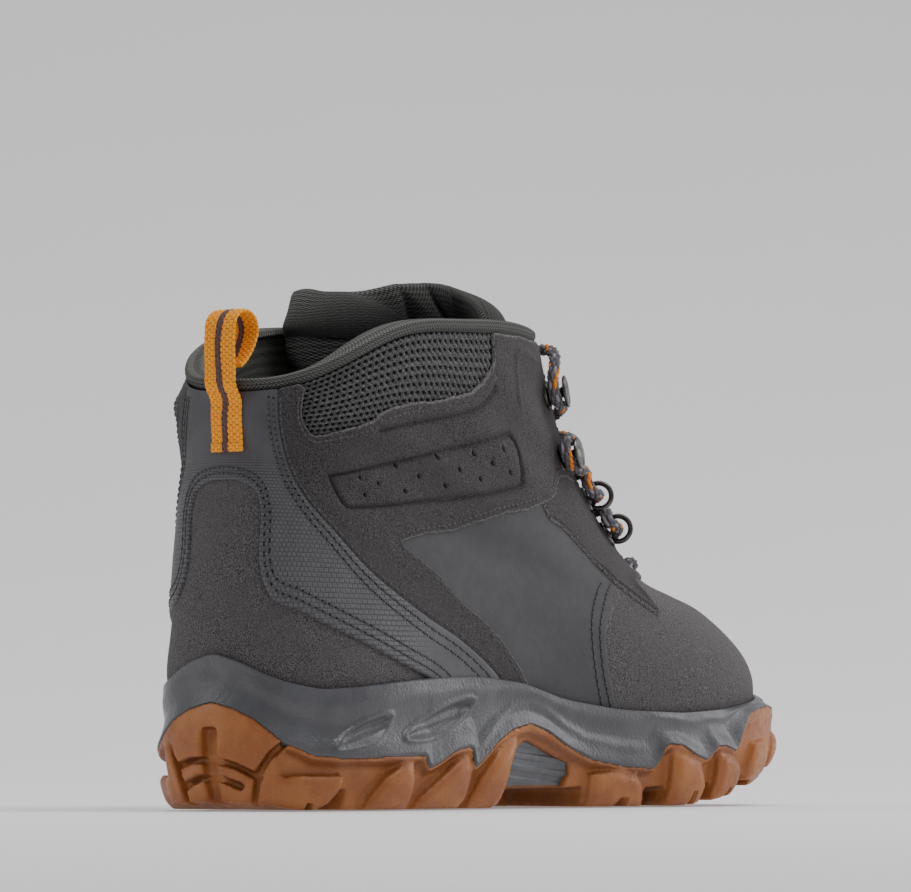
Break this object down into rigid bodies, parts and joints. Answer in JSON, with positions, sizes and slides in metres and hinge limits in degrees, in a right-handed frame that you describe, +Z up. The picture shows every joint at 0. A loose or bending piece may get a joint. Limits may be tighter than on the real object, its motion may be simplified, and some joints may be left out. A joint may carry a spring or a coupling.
{
  "type": "hiking boot",
  "caption": "Mid-height laced hiking boot for the right foot, with a lugged gum sole, suede and smooth panels, padded tongue and a rear pull loop.",
  "frame": {"origin": "on the ground, under the middle of the outsole's footprint", "axes": "+X from the heel to the toe, +Z up, -Y the outer (lateral) side of the right foot"},
  "size_m": [0.3018, 0.106, 0.187],
  "materials": {
    "gum_rubber": "matt, lightly textured",
    "midsole_foam": "moulded, satin, with a fine leather grain at the heel",
    "arch_plastic": "satin moulded, ribbed",
    "fibre_board": "pressed fibre",
    "footbed_fabric": "brushed knit",
    "knit_lining": "fine knit",
    "collar_foam": "open foam",
    "knit_binding": "fine knit over padding",
    "open_mesh": "open three-dimensional mesh",
    "suede": "napped suede",
    "embossed_synthetic": "matt coated, finely embossed",
    "smooth_leather": "smooth, satin",
    "tongue_knit": "fine knit over padding",
    "webbing": "woven webbing with a dark centre stripe",
    "gunmetal": "dark nickel plating, satin",
    "lace_braid": "round braid with orange flecks",
    "aglet_plastic": "clear-coated"
  },
  "bodies": {
    "boot": {"outsole": "gum_rubber", "midsole": "midsole_foam", "arch_plate": "arch_plastic", "lasting_board": "fibre_board", "footbed": "footbed_fabric", "heel_counter": "fibre_board", "toe_puff": "fibre_board", "lining": "knit_lining", "collar_padding": "collar_foam", "collar_binding": "knit_binding", "collar_mesh_lateral": "open_mesh", "collar_mesh_medial": "open_mesh", "heel_cup": "suede", "heel_overlay": "embossed_synthetic", "ankle_panel_lateral": "suede", "ankle_panel_medial": "suede", "eyestay_lateral": "suede", "eyestay_medial": "suede", "quarter_lateral": "smooth_leather", "quarter_medial": "smooth_leather", "vamp": "suede", "tongue_body": "tongue_knit", "pull_tab_anchor": "webbing", "eyelet_lateral": "gunmetal", "eyelet_medial": "gunmetal", "lacing_ring_lower_lateral": "gunmetal", "lacing_ring_lower_medial": "gunmetal", "lacing_ring_upper_lateral": "gunmetal", "lacing_ring_upper_medial": "gunmetal", "hook_lower_lateral": "gunmetal", "hook_lower_medial": "gunmetal", "hook_upper_lateral": "gunmetal", "hook_upper_medial": "gunmetal", "lace": "lace_braid", "aglet_lateral": "aglet_plastic", "aglet_medial": "aglet_plastic"},
    "tongue_flap": {"tongue_top": "tongue_knit"},
    "heel_loop": {"pull_loop": "webbing"}
  },
  "joints": [
    {"name": "tongue_fold", "type": "hinge", "parent": "boot", "child": "tongue_flap", "pos_m": [0.012, 0.001, 0.1622], "axis": [0, 1, 0], "range_deg": [0, 55], "stiffness_Nm_per_rad": 0.02},
    {"name": "pull_loop_fold", "type": "hinge", "parent": "boot", "child": "heel_loop", "pos_m": [-0.1444, 0.001, 0.147], "axis": [0, 1, 0], "range_deg": [-70, 35], "stiffness_Nm_per_rad": 0.003}
  ]
}
